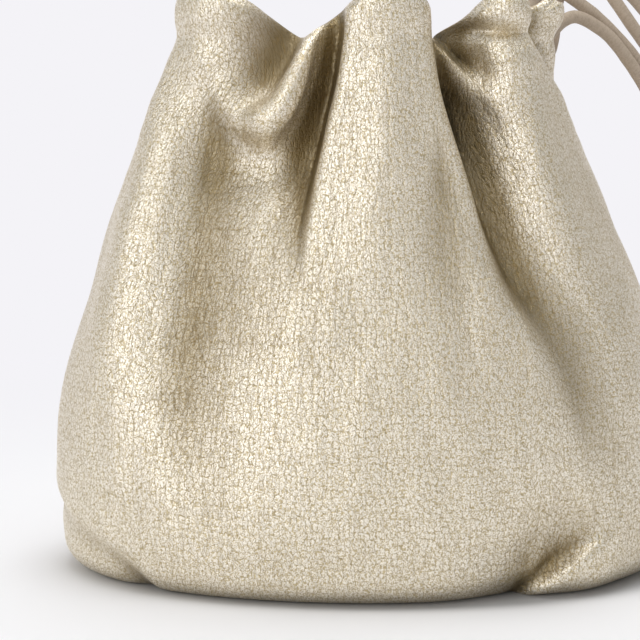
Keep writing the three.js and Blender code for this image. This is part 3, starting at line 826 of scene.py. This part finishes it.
@dataclass
class PouchForm:
    """Outside of the leather as a function of an angle round it and a height above the floor."""

    width: float = 0.201
    depth: float = 0.118
    height: float = 0.186
    wall: float = 0.0018
    base_radius: float = 0.009
    pleat_depth: float = 0.016
    pleat_width: float = 0.009
    rim_curl: float = 0.003
    rim_curl_height: float = 0.006
    waist_height: float = 0.915
    waist_spread: float = 0.022
    folds: tuple[Fold, ...] = FOLDS

    def fold_steps(self, fold: Fold) -> Array:
        """Short steps along a fold's path.

        Args:
            fold: The fold.

        Returns:
            Rows of angle, height, depth, run in angle (radians) and run in height.
        """
        width = min(fold.left, fold.right) * self.pleat_width
        steps = []
        for start, end in zip(fold.path[:-1], fold.path[1:]):
            first, last = np.array(start, float), np.array(end, float)
            turn, rise = math.radians(last[0] - first[0]), (last[1] - first[1]) * self.height
            count = math.ceil(math.hypot(turn * self.width / 3, rise) / width)
            share = (np.arange(count)[:, None] + 0.5) / count
            place = (first + (last - first) * share) * (1, self.height, self.pleat_depth)
            runs = np.tile((turn / count, rise / count), (count, 1))
            steps.append(np.concatenate([place, runs], 1))
        return np.concatenate(steps)

    def fold_push(self, fold: Fold, angle: Array, height: Array, arc: Array) -> Array:
        """Push of one fold: a bell-shaped furrow or ridge carried along its path.

        It is the sum over the path's steps of depth times step length times
        exp(-distance^2 / width^2) / (width sqrt(pi)). Across the path the width slides from the fold's
        left to its right half width, by a share of (1 + tanh(offset / lesser half width)) / 2.

        Args:
            fold: The fold.
            angle: Angles in degrees.
            height: Heights.
            arc: Length of a radian along the wall at each place.

        Returns:
            The push at each place, outwards where it is positive.
        """
        left, right = fold.left * self.pleat_width, fold.right * self.pleat_width
        push = np.zeros(np.broadcast_shapes(angle.shape, height.shape))
        for at_angle, at_height, depth, turn, rise in self.fold_steps(fold):
            x = np.radians((angle - at_angle + 540) % 360 - 180) * arc
            z = height - at_height
            run = turn * arc
            length = np.hypot(run, rise)
            share = 0.5 + 0.5 * np.tanh((run * z - rise * x) / length / min(left, right))
            width = left + (right - left) * share
            bell = np.exp(-(x * x + z * z) / (width * width)) / (width * math.sqrt(math.pi))
            push += depth * bell * length
        return push

    def rim_height(self, angle: Array) -> Array:
        """Height of the rim at each angle."""
        return smooth_ring(RIM, angle) * self.height

    def wall_points(self, angle: Array, height: Array) -> tuple[Array, Array, Array]:
        """Places on the outside of the wall.

        A place is (a sin, -b cos, height) on the section's ellipse, pushed along its level outward
        direction by the base's rounding, the folds, the waist and the roll of the rim.

        Args:
            angle: Angles in degrees from the front towards the right.
            height: Heights above the floor.

        Returns:
            The places, their level outward directions, and the push of the folds alone.
        """
        share = height / self.height
        keys = np.array([row.height for row in SECTIONS])
        sides = np.array([(row.left, row.right, row.front, row.back) for row in SECTIONS])
        left, right, front, back = np.moveaxis(smooth_curve(keys, sides, share), -1, 0)
        sin, cos = np.sin(np.radians(angle)), np.cos(np.radians(angle))
        a = (right + left + (right - left) * sin) * self.width / 4
        b = (front + back + (front - back) * cos) * self.depth / 4
        arc = np.hypot(a * cos, b * sin)
        out = unit(np.stack([b * sin, -a * cos, 0 * a], -1))
        folded = sum(self.fold_push(fold, angle, height, arc) for fold in self.folds)
        low = np.maximum(self.base_radius - height, 0)
        push = np.sqrt(self.base_radius ** 2 - low ** 2) - self.base_radius + folded
        pinch = ((share - self.waist_height) / self.waist_spread) ** 2
        push = push - smooth_ring(WAIST, angle) * self.pleat_depth * np.exp(-pinch)
        over = height - (self.rim_height(angle) - self.rim_curl_height)
        curl = np.clip(over / self.rim_curl_height, 0, 1)
        push = push - self.rim_curl * (1 - np.sqrt(1 - curl ** 2))
        places = np.stack([a * sin, -b * cos, height], -1) + out * push[..., None]
        return places, out, folded

    def station_heights(self, angle: Array, station: Array) -> Array:
        """Heights of stations: -1 to 0 rounds the base's edge, 0 to 1 climbs, 1 to 2 rolls the rim.

        Args:
            angle: Angles in degrees.
            station: Stations of the rows.

        Returns:
            Height at each place.
        """
        top = self.rim_height(angle) - self.rim_curl_height
        foot = self.base_radius * (1 - np.cos((np.minimum(station, 0) + 1) * math.pi / 2))
        climb = self.base_radius + (top - self.base_radius) * station
        roll = top + self.rim_curl_height * np.sin((np.maximum(station, 1) - 1) * math.pi / 2)
        return np.where(station < 0, foot, np.where(station > 1, roll, climb))


@dataclass
class LeatherPouch:
    """The pouch: one closed skin of outer wall, rolled rim, inner wall and flat base."""

    form: PouchForm = field(default_factory=PouchForm)
    detail: PouchForm = field(default_factory=lambda: PouchForm(folds=CREASES))
    columns: int = 405
    wall_rows: int = 160
    edge_rows: int = 8
    rim_rows: int = 8
    inner_every: int = 4
    belly: float = 0.3
    # Painted shade of wide furrows: how far round it reaches and the depth that is fully darkened
    valley_reach: int = 19
    valley_full: float = 0.004
    # Painted shade of narrow crevices: how far round it reaches and the depth that is fully darkened
    crevice_reach: int = 4
    crevice_full: float = 0.004
    shade_places: tuple[Patch, ...] = SHADE_PLACES
    dark: tuple[Patch, ...] = DARK_PLACES
    matte_shade: tuple[Patch, ...] = MATTE_SHADE_PLACES
    front_pull: float = 0.3
    pull_heights: tuple[float, ...] = (0.1, 0.5, 0.65, 0.75, 0.85, 0.93)
    pull_samples: int = 1441
    crevice_from: float = 0.32
    swell: float = 0.0018
    swell_from: tuple[float, float] = (0.0, 0.02)
    waves_from: tuple[float, float] = (0.0, 0.012)
    gathers_from: tuple[float, float] = (0.06, 0.16)
    sharp: float = 75
    edge_round: int = 3
    floor_rings: tuple[float, ...] = (0.3, 0.6, 0.85)
    hole: Hole = Hole()
    hole_near: float = 0.012
    hole_rows: int = 2
    leather: PebbledLeather = PebbledLeather()
    flesh: FleshSide = FleshSide()

    def angles(self) -> Array:
        """Places the columns evenly along the folded wall, but closer together at the front.

        Returns:
            Angle of each column in degrees, from the back round to the back.
        """
        fine = np.linspace(-180, 180, self.pull_samples)
        heights = np.outer(self.pull_heights, np.ones(len(fine))) * self.form.height
        places = self.form.wall_points(fine[None, :], heights)[0]
        middle = np.radians((fine[1:] + fine[:-1]) / 2)
        steps = np.linalg.norm(np.diff(places, axis=1), axis=-1).mean(0)
        run = np.concatenate([[0], np.cumsum(steps * (1 + self.front_pull * np.cos(middle)))])
        return np.interp(np.arange(self.columns) / self.columns * run[-1], run, fine)

    def stations(self) -> Array:
        """Places the rows of the outer wall, closer together where it rounds.

        Returns:
            Station of each row.
        """
        foot = np.linspace(-1, 0, self.edge_rows + 1)
        climb = np.linspace(0, 1, self.wall_rows + 1)
        roll = np.linspace(1, 2, self.rim_rows + 1)
        return np.concatenate([foot, climb[1:], roll[1:]])

    def relief(self, places: Array) -> Array:
        """Small unevenness of soft leather over its main folds, with gathers only above the base.

        Args:
            places: Places on the wall.

        Returns:
            The push outwards.
        """
        soft, small, gathers = (ripple(places, length, seed) * rise for length, seed, rise in WAVES)
        gathers = gathers * soft_step(*self.gathers_from, places[..., 2])
        return (soft + small + gathers) * soft_step(*self.waves_from, places[..., 2])

    def outer_skin(self) -> tuple[Array, Array, Array]:
        """The grid of the outer wall, whose ridges swell a little along their normals.

        Returns:
            Places, normals, and three shares of painted shade: how deep a place lies in a wide furrow
            plus the shade patches, how deep in a narrow one plus the dark patches, and the darker matte
            patch.
        """
        angle, station = self.angles()[None, :], self.stations()[:, None]
        height = self.form.station_heights(angle, station)
        places, out, folded = self.form.wall_points(angle, height)
        creased = self.detail.wall_points(angle, height)[2]
        push = self.relief(places) + creased
        hollow = self.hollows(folded + push, self.valley_reach, self.valley_full)
        crevice = self.hollows(folded + push, self.crevice_reach, self.crevice_full)
        # Shares of painted shade: wide furrows with the shade patches, narrow crevices with the dark patches,
        # and the matte patch
        shares = np.stack([hollow + self.patches(self.shade_places, angle, height),
                           crevice - self.crevice_from + self.patches(self.dark, angle, height),
                           self.patches(self.matte_shade, angle, height)], -1)
        places = places + out * push[..., None]
        ridge = np.clip(-hollow, 0, 1) * soft_step(*self.swell_from, height) * (station < 1.5)
        places = places + self.normals_of(places) * (ridge * self.swell)[..., None]
        return places, self.normals_of(places), np.clip(shares, 0, 1)

    def patches(self, table: Sequence[Patch], angle: Array, height: Array) -> Array:
        """Sum of a table's patches, each amount times exp(-(off^2 + rise^2)^1.5).

        Args:
            table: The patches.
            angle: Angles in degrees.
            height: Heights.

        Returns:
            The share at each place.
        """
        share = height / self.form.height
        parts = (patch.amount * np.exp(-(((angle - patch.angle) / patch.wide) ** 2
                                         + ((share - patch.height) / patch.tall) ** 2) ** 1.5)
                 for patch in table)
        return sum(parts)

    def normals_of(self, places: Array) -> Array:
        """Normals of the wall's grid, from its neighbours round and upwards."""
        ahead = np.roll(places, -1, axis=1) - np.roll(places, 1, axis=1)
        return unit(np.cross(ahead, np.gradient(places, axis=0)))

    def hollows(self, push: Array, reach: int, full: float) -> Array:
        """How deep each place lies in a furrow, as a share that is negative on a ridge.

        It is the push averaged twice over its neighbours round the pouch, less the push itself.

        Args:
            push: Push of the folds at each row and column.
            reach: How many neighbours to either side are averaged.
            full: Depth that counts as one.

        Returns:
            Shares of the full depth.
        """
        mean = push
        for _ in range(2):
            mean = sum(np.roll(mean, step, 1) for step in range(-reach, reach + 1)) / (2 * reach + 1)
        return (mean - push) / full

    def flat_map(self, places: Array) -> Array:
        """Where each face of the wall lies on the leather, laid flat, with its cut at the back.

        Across, it is the running length round the pouch from the front, halfway between that at the
        place's own height and that at the belly. Upwards, it is the running length from the floor.

        Args:
            places: Places of the outer wall.

        Returns:
            The two lengths at the four corners of each face.
        """
        wide = np.linalg.norm(np.roll(places, -1, 1) - places, axis=-1)
        wide = (wide + wide[round(self.belly * self.wall_rows)]) / 2
        left = np.cumsum(wide, axis=1) - wide
        left = left - left[:, [self.columns // 2]]
        step = np.linalg.norm(np.diff(places, axis=0), axis=-1)
        up = np.concatenate([np.zeros((1, self.columns)), np.cumsum(step, axis=0)])
        here, after = np.stack([left, up], -1), np.stack([left + wide, np.roll(up, -1, 1)], -1)
        return np.stack([here[:-1], after[:-1], after[1:], here[1:]], -2)

    def hole_places(self, places: Array) -> tuple[Array, Array]:
        """Places of a grid that lie in the hole for the cords, and those beside them.

        A place's distance is measured square to the hole's axis, near the wall that it goes through.

        Args:
            places: Places of the outer wall.

        Returns:
            Which places lie in the hole, and which are next to one that does.
        """
        along, radial = self.hole.offset(places)
        inside = (np.linalg.norm(radial, axis=-1) < self.hole.radius) & (np.abs(along) < self.hole_near)
        beside = inside
        for axis in (0, 1):
            beside = beside | np.roll(beside, 1, axis) | np.roll(beside, -1, axis)
        return inside, beside & ~inside

    def drawn_to_hole(self, places: Array, beside: Array) -> Array:
        """The places with those beside the hole moved onto its circle.

        Args:
            places: Places of a wall.
            beside: Which of them are next to one in the hole.

        Returns:
            The moved places.
        """
        radial = self.hole.offset(places)[1]
        reach = np.maximum(np.linalg.norm(radial, axis=-1), 1e-9)
        pull = np.where(beside, self.hole.radius / reach - 1, 0.0)
        return places + radial * pull[..., None]

    def hole_wall(self, gone: Array, outer: Array, inner: Array) -> Array:
        """Faces that join the outer and inner walls round the hole.

        Each edge between a kept face and a missing one becomes a face from the outer wall's edge to the
        inner wall's, turned so that it looks into the hole.

        Args:
            gone: Missing faces, by row and column.
            outer: Vertex numbers of the outer wall.
            inner: Vertex numbers of the inner wall, on the same rows and columns.

        Returns:
            Four vertex numbers per face.
        """
        faces = []
        for shift, axis, first, last in ((1, 1, (1, 0), (0, 0)), (1, 0, (0, 0), (0, 1)),
                                         (-1, 1, (0, 1), (1, 1)), (-1, 0, (1, 1), (1, 0))):
            row, column = np.nonzero(gone & ~np.roll(gone, shift, axis))
            start, end = ((row + up, (column + on) % self.columns) for up, on in (first, last))
            faces.append(np.stack([outer[start], outer[end], inner[end], inner[start]], -1))
        return np.concatenate(faces)

    def inner_rows(self, inside: Array) -> Array:
        """Rows of the outer wall that the inner wall repeats: a few, and all of those at the hole.

        Args:
            inside: Which places of the outer wall lie in the hole.

        Returns:
            The numbers of the rows.
        """
        rows = len(inside)
        kept = np.zeros(rows, bool)
        kept[::self.inner_every] = True
        kept[[0, self.edge_rows // 2, self.edge_rows, rows - 1, rows - 1 - self.rim_rows // 2]] = True
        busy = np.flatnonzero(inside.any(1))
        kept[busy.min() - self.hole_rows:busy.max() + self.hole_rows + 1] = True
        return np.flatnonzero(kept)

    def rim_edge(self, outer: Array, normals: Array) -> Array:
        """Rings that round the cut edge of the rim, half a circle from the outer to the inner wall.

        Args:
            outer: Places of the outer wall.
            normals: Their normals.

        Returns:
            The places of the rings.
        """
        half = self.form.wall / 2
        onward = unit(outer[-1] - outer[-2])
        middle = outer[-1] - normals[-1] * half
        turn = (np.arange(1, self.edge_round + 1) * math.pi / (self.edge_round + 1))[:, None, None]
        return middle + half * (normals[-1] * np.cos(turn) + onward * np.sin(turn))

    def build(self) -> bpy.types.Object:
        """Builds the skin: rings from the middle of its base, up, over the rim and down inside.

        Returns:
            The pouch's object.
        """
        smooth, normals, furrows = self.outer_skin()
        inside, beside = self.hole_places(smooth)
        outer = self.drawn_to_hole(smooth, beside)
        rows = self.inner_rows(inside)
        inner = self.drawn_to_hole((smooth - normals * self.form.wall)[rows], beside[rows])
        inner[0, :, 2] = self.form.wall
        edge = self.rim_edge(outer, normals)
        floor = np.stack([outer[0] * (share, share, 0) for share in self.floor_rings])
        inner_floor = np.stack([inner[0] * (share, share, 1) for share in reversed(self.floor_rings)])
        rings = np.concatenate([floor, outer, edge, inner[::-1], inner_floor])
        depths = np.zeros((*rings.shape[:2], furrows.shape[-1]))
        low, high = len(floor), len(floor) + len(outer)
        depths[low:high] = furrows
        index = np.arange(rings.shape[0] * self.columns).reshape(-1, self.columns)
        inner_top = high + len(edge)
        shut = np.zeros(index.shape, bool)
        shut[low:high] = inside
        shut[inner_top:inner_top + len(rows)] = inside[rows][::-1]
        cells = grid_faces(index)
        gone = shut.ravel()[cells].any(-1)
        inner_index = np.zeros(outer.shape[:2], int)
        inner_index[rows] = index[inner_top:inner_top + len(rows)][::-1]
        tunnel = self.hole_wall(gone[low:high - 1], index[low:high], inner_index)
        points = np.concatenate([rings.reshape(-1, 3), [(0, 0, 0), (0, 0, self.form.wall)]])
        faces = [*cells[~gone].tolist(), *tunnel.tolist(), *pole_fans(index).tolist()]
        thing = lay_mesh("leather_pouch", points, faces, self.sharp)
        flesh = np.broadcast_to(np.arange(len(cells))[:, None] >= high - 1, gone.shape)[~gone]
        kinds = np.concatenate([flesh, np.ones(len(tunnel)), np.zeros(self.columns), np.ones(self.columns)])
        flat = np.zeros((*cells.shape, 2))
        flat[low:high - 1] = self.flat_map(outer)
        corners = np.zeros((len(thing.data.loops), 2), np.float32)
        corners[:4 * np.count_nonzero(~gone)] = flat[~gone].reshape(-1, 2)
        self.dress(thing, corners, np.pad(depths.reshape(-1, depths.shape[-1]), ((0, 2), (0, 0))), kinds)
        return thing

    def dress(self, thing: bpy.types.Object, corners: Array, depth: Array, kinds: Array) -> None:
        """Gives the skin its two sides' materials and the attributes that they read.

        Args:
            thing: The pouch's object.
            corners: Place of each face corner on the leather laid flat.
            depth: The outer skin's three shares at each vertex.
            kinds: 0 for each grain-side face and 1 for each flesh-side face.
        """
        mesh = thing.data
        mesh.uv_layers.new(name=LEATHER_MAP).data.foreach_set("uv", corners.ravel())
        for name, column in zip((VALLEY, CREVICE, MATTE_SHADE), depth.T):
            share = mesh.attributes.new(name, "FLOAT", "POINT")
            share.data.foreach_set("value", np.ascontiguousarray(column))
        for finish in (self.leather, self.flesh):
            mesh.materials.append(finish.make())
        mesh.polygons.foreach_set("material_index", kinds.astype(np.int32))
        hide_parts("pouch")
        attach(thing, ROOT)


@dataclass(frozen=True)
class Strand:
    """One strand of a drawcord outside the hole: its place in the hole, its knot and its route."""

    name: str
    row: int
    side: int
    knot: str
    length: float
    route: tuple[Place, ...]


@dataclass(frozen=True)
class Knot:
    """A knot on the floor: its middle, the direction its strands come from, and its tails' spread."""

    name: str
    place: Place
    angle: float
    spread: float


STRANDS = (
    Strand("cord_a_front", 1, 1, "knot_a", 0.2415, (
        (0.0513, 0.0121, 0.1656), (0.0555, 0.0158, 0.1678), (0.0605, 0.0195, 0.1716),
        (0.0645, 0.0216, 0.1754), (0.0688, 0.023, 0.177), (0.074, 0.0245, 0.1751), (0.081, 0.026, 0.1702),
        (0.0895, 0.0275, 0.1596), (0.095, 0.0283, 0.1505), (0.0995, 0.029, 0.139), (0.1026, 0.0295, 0.126),
        (0.1044, 0.03, 0.11), (0.105, 0.03, 0.09), (0.1052, 0.03, 0.068), (0.1054, 0.03, 0.046),
        (0.106, 0.03, 0.027), (0.108, 0.0293, 0.013), (0.1118, 0.027, 0.005), (0.116, 0.022, 0.0023),
        (0.119, 0.015, 0.0023), (0.12, 0.008, 0.0023),
    )),
    Strand("cord_a_back", 1, -1, "knot_a", 0.268, (
        (0.0502, 0.0159, 0.1657), (0.0516, 0.02, 0.1702), (0.053, 0.023, 0.1774), (0.0565, 0.026, 0.184),
        (0.0615, 0.0276, 0.1863), (0.066, 0.0288, 0.1847), (0.07, 0.0296, 0.1821), (0.0755, 0.0305, 0.1783),
        (0.0825, 0.0315, 0.1721), (0.0905, 0.0327, 0.1632), (0.096, 0.0338, 0.154), (0.1003, 0.0348, 0.142),
        (0.103, 0.0356, 0.128), (0.1046, 0.036, 0.11), (0.1052, 0.036, 0.09), (0.1056, 0.036, 0.068),
        (0.106, 0.036, 0.046), (0.107, 0.036, 0.027), (0.11, 0.0352, 0.013), (0.115, 0.032, 0.005),
        (0.121, 0.0255, 0.0023), (0.125, 0.017, 0.0023), (0.1265, 0.008, 0.0023),
    )),
    Strand("cord_b_front", -1, 1, "knot_b", 0.282, (
        (0.052, 0.013, 0.1607), (0.0565, 0.018, 0.1616), (0.0603, 0.023, 0.1648), (0.0623, 0.0276, 0.1704),
        (0.0632, 0.0316, 0.1775), (0.0652, 0.0346, 0.1842), (0.0698, 0.036, 0.1888),
        (0.0756, 0.0366, 0.1894), (0.0808, 0.0362, 0.1862), (0.0844, 0.0358, 0.1816),
        (0.0876, 0.0356, 0.177), (0.0924, 0.0361, 0.1706), (0.098, 0.0375, 0.163), (0.103, 0.039, 0.1515),
        (0.1065, 0.0403, 0.137), (0.1086, 0.0412, 0.12), (0.1096, 0.0416, 0.1), (0.11, 0.042, 0.078),
        (0.1104, 0.042, 0.055), (0.111, 0.042, 0.033), (0.113, 0.042, 0.016), (0.1175, 0.0412, 0.0055),
        (0.1245, 0.039, 0.0023), (0.1325, 0.034, 0.0023), (0.1365, 0.0264, 0.0023),
    )),
    Strand("cord_b_back", -1, -1, "knot_b", 0.3005, (
        (0.05, 0.016, 0.1607), (0.0514, 0.0216, 0.1622), (0.0518, 0.027, 0.167), (0.0546, 0.0325, 0.175),
        (0.059, 0.037, 0.183), (0.0654, 0.0404, 0.1896), (0.0734, 0.0418, 0.192), (0.081, 0.0418, 0.1904),
        (0.0875, 0.0416, 0.1864), (0.0932, 0.0418, 0.181), (0.099, 0.0426, 0.174), (0.1045, 0.044, 0.164),
        (0.1086, 0.0454, 0.151), (0.1114, 0.0466, 0.135), (0.113, 0.0474, 0.116), (0.1138, 0.048, 0.096),
        (0.1142, 0.048, 0.074), (0.1146, 0.048, 0.052), (0.1154, 0.048, 0.031), (0.118, 0.048, 0.015),
        (0.123, 0.0475, 0.0052), (0.1305, 0.0452, 0.0023), (0.138, 0.04, 0.0023), (0.1426, 0.032, 0.0023),
        (0.1435, 0.0264, 0.0023),
    )),
)

KNOTS = (
    Knot("knot_a", (0.123, 0.0013, 0.0053), 90, 12),
    Knot("knot_b", (0.14, 0.0196, 0.0053), 90, 12),
)

NECK_ROUTE = (
    (0.0424, 0.0021), (0.0388, -0.0018), (0.0325, -0.0045), (0.0235, -0.0064), (0.012, -0.0106),
    (-0.003, -0.0128), (-0.018, -0.0126), (-0.031, -0.0099), (-0.04, -0.0056), (-0.044, 0),
    (-0.04, 0.0056), (-0.031, 0.0099), (-0.018, 0.0124), (-0.003, 0.0129), (0.01, 0.0122),
    (0.02, 0.0102), (0.028, 0.0076), (0.034, 0.0053), (0.0391, 0.0052),
)


@dataclass
class Drawcords:
    """Two drawcords: a ring of each inside the neck, and four strands that end in two knots."""

    diameter: float = CORD_DIAMETER
    clearance: float = 0.0003
    floor_gap: float = 0.00015
    seam: float = -0.003
    step: float = 0.001
    hole: Hole = Hole()
    knot_radius: float = 0.0054
    knot_length: float = 0.0075
    knot_rings: int = 90
    knot_sides: int = 18
    knot_turns: float = 2.3
    knot_start: float = 0.6
    knot_tuck: float = 0.13
    knot_lean: float = 0.22
    tail_length: float = 0.013
    tail_step: float = 0.0008
    leather: CordLeather = CordLeather()
    pieces: dict[str, bpy.types.Object] = field(default_factory=dict)

    def hole_point(self, out: float, side: int, row: int) -> Place:
        """A place in the hole: out along its axis, in one of the four cords' places across it."""
        half = (self.diameter + self.clearance) / 2
        return self.hole.point(out, side * half, row * half)

    def neck_cord(self, name: str, row: int) -> bpy.types.Object:
        """The part of a drawcord that runs round inside the neck, from the hole to the hole.

        Args:
            name: Name of the piece.
            row: 1 for the upper cord and -1 for the lower.

        Returns:
            The cord's object.
        """
        height = self.hole.place[2] + row * (self.diameter + self.clearance) / 2
        ends = [self.hole_point(self.seam - self.clearance, side, row) for side in (1, -1)]
        route = [ends[0], *((x, y, height) for x, y in NECK_ROUTE), ends[1]]
        return lay_surfaces(name, [round_cord(even_path(route, self.step), self.diameter / 2, seed=row + 5)])

    def strand(self, facts: Strand) -> bpy.types.Object:
        """A strand outside the hole: a cord that ends in its knot.

        Args:
            facts: The strand's facts.

        Returns:
            The strand's object.
        """
        starts = [self.hole_point(out, facts.side, facts.row) for out in (self.seam, 0, self.diameter / 2)]
        path = even_path([*starts, *facts.route], self.step)
        path[:, 2] = np.maximum(path[:, 2], self.diameter / 2 + self.floor_gap)
        cord = round_cord(path, self.diameter / 2, seed=len(facts.route))
        thing = lay_surfaces("strand_" + facts.name, [cord])
        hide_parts(facts.name)
        return thing

    def knot(self, facts: Knot) -> bpy.types.Object:
        """A tied knot: a cord wound twice round its strands, and two short tails with cut ends.

        The winding's place at a share t of its length is ((t - 1/2) length, r cos(turn), r sin(turn)),
        where r is largest in the middle and sinks into the knot at both ends.

        Args:
            facts: The knot's facts.

        Returns:
            The knot's object.
        """
        radius = self.diameter / 2
        t = np.linspace(0, 1, self.knot_rings)
        turn = 2 * math.pi * self.knot_turns * t + self.knot_start
        tuck = soft_step(0, self.knot_tuck, t) * soft_step(0, self.knot_tuck, 1 - t)
        reach = (self.knot_radius - radius) * (0.25 + 0.72 * tuck)
        length = 1.28 * self.knot_length
        lean = self.knot_lean * np.cos(turn) * self.diameter
        winding = np.stack([(t - 0.5) * length + lean, reach * np.cos(turn) * 1.12, reach * np.sin(turn)], -1)
        parts = [round_cord(winding, radius * 0.98, self.knot_sides, 3)]
        low = radius - self.knot_radius * 0.95
        swing = math.radians(facts.spread) / 2
        for side in (-1, 1):
            start = np.array([self.knot_length * 0.6, side * radius * 0.9, 0.0])
            first = np.array([-self.knot_length / 2, side * 0.002, low * 0.6])
            end = np.array([-self.knot_length - self.tail_length * math.cos(swing),
                            side * (0.004 + self.tail_length * math.sin(swing)), low])
            middle = (first + end) / 2 * (1, 1, 0) + (0, 0, low)
            tail = even_path([start, first, middle, end], self.tail_step)
            parts.append(round_cord(tail, radius, self.knot_sides, 7 + side))
        spin = math.radians(facts.angle)
        cos, sin = math.cos(spin), math.sin(spin)
        flat = np.array([[cos, sin, 0], [-sin, cos, 0], [0, 0, 1]])
        placed = [replace(part, points=part.points @ flat + np.array(facts.place)) for part in parts]
        thing = lay_surfaces("tied_" + facts.name, placed)
        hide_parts(facts.name)
        return thing

    def build(self) -> None:
        """Builds and dresses every cord and knot."""
        knots = {facts.name: self.knot(facts) for facts in KNOTS}
        for facts in STRANDS:
            self.pieces[facts.name] = self.strand(facts)
        self.pieces.update(knots)
        for name, row in (("neck_cord_upper", 1), ("neck_cord_lower", -1)):
            self.pieces[name] = self.neck_cord("drawn_" + name, row)
            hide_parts(name)
        finish = self.leather.make()
        for thing in self.pieces.values():
            thing.data.materials.append(finish)
            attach(thing, ROOT)


@dataclass(frozen=True)
class Lamp:
    """A white soft box: its place, the point it faces, its width and height, and its power."""

    name: str
    place: Place
    aim: Place
    size: tuple[float, float]
    power: float


@dataclass
class Studio:
    """White floor, even room light, soft boxes, and the camera at the photograph's angle."""

    target: Place = (-0.0149, 0.0, 0.0798)
    distance: float = 0.6
    elevation: float = 8.5
    lens: float = 104.29
    sensor: float = 36.0
    floor_half: float = 200.0
    room_left: float = 0.62
    room_right: float = 0.46
    room_over: float = 0.45
    room_back: Place = (0.905, 0.896, 0.93)
    room_sides: tuple[float, float] = (-0.8, 0.8)
    room_rise: tuple[float, float] = (0.1, 0.75)
    room_turn: tuple[float, float] = (0.3, 0.9)
    paper: StudioPaper = StudioPaper()
    lamps: tuple[Lamp, ...] = (
        Lamp("key_box", (-0.85, -1.1, 0.6), (0, 0, 0.08), (1.3, 1.0), 7.0),
        Lamp("top_box", (0.1, 0.0, 1.5), (0, 0, 0.08), (1.0, 1.0), 12.0),
    )

    def camera(self) -> None:
        """Sets the camera: it looks at the target from the front, a little above the floor."""
        rise = math.radians(self.elevation)
        forward = Vector((0, math.cos(rise), -math.sin(rise)))
        lens = bpy.data.cameras.new("camera")
        lens.sensor_width = self.sensor
        lens.lens = self.lens
        lens.clip_start = 0.01
        seat = bpy.data.objects.new("camera", lens)
        seat.location = Vector(self.target) - forward * self.distance
        seat.rotation_euler = forward.to_track_quat("-Z", "Y").to_euler()
        bpy.context.scene.collection.objects.link(seat)
        bpy.context.scene.camera = seat

    def room(self) -> None:
        """A white room, brighter to the left of the camera, dimmer overhead and even behind the pouch."""
        world = bpy.data.worlds.new("studio_room")
        world.use_nodes = True
        world.node_tree.nodes.clear()
        desk = Desk(world.node_tree)
        way = desk.node("TexCoord", {}, "Generated")
        x, y, z = (desk.node("SeparateXYZ", {"Vector": way}, axis) for axis in "XYZ")
        left, right, over = ((tone, tone, tone) for tone in (self.room_left, self.room_right, self.room_over))
        front = desk.blend(desk.step(x, *self.room_sides), left, right)
        front = desk.blend(desk.step(z, *self.room_rise), front, over)
        tone = desk.blend(desk.step(y, *self.room_turn), front, self.room_back)
        close_tree(desk, desk.node("Background", {"Color": tone}), "ShaderNodeOutputWorld")
        bpy.context.scene.world = world

    def build(self) -> None:
        """Builds the floor, the room and the lamps."""
        half = self.floor_half
        corners = np.array([(-half, -half, 0), (half, -half, 0), (half, half, 0), (-half, half, 0)])
        floor = lay_mesh("floor", corners, [(0, 1, 2, 3)])
        floor.data.materials.append(self.paper.make())
        self.room()
        for lamp in self.lamps:
            light = bpy.data.lights.new(lamp.name, "AREA")
            light.shape = "RECTANGLE"
            light.size, light.size_y = lamp.size
            light.energy = lamp.power
            stand = bpy.data.objects.new(lamp.name, light)
            stand.location = lamp.place
            ahead = Vector(lamp.aim) - Vector(lamp.place)
            stand.rotation_euler = ahead.to_track_quat("-Z", "Y").to_euler()
            bpy.context.scene.collection.objects.link(stand)
        bpy.context.scene.view_settings.view_transform = "Standard"


def main() -> None:
    """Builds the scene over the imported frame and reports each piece."""
    logging.basicConfig(level=logging.INFO, format="%(message)s")
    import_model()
    studio = Studio()
    studio.camera()
    cords = Drawcords()
    cords.build()
    for name, thing in cords.pieces.items():
        LOG.info("%s: %d faces", name, len(thing.data.polygons))
    pouch = LeatherPouch().build()
    LOG.info("pouch: %d faces", len(pouch.data.polygons))
    studio.build()


if __name__ == "__main__":
    main()
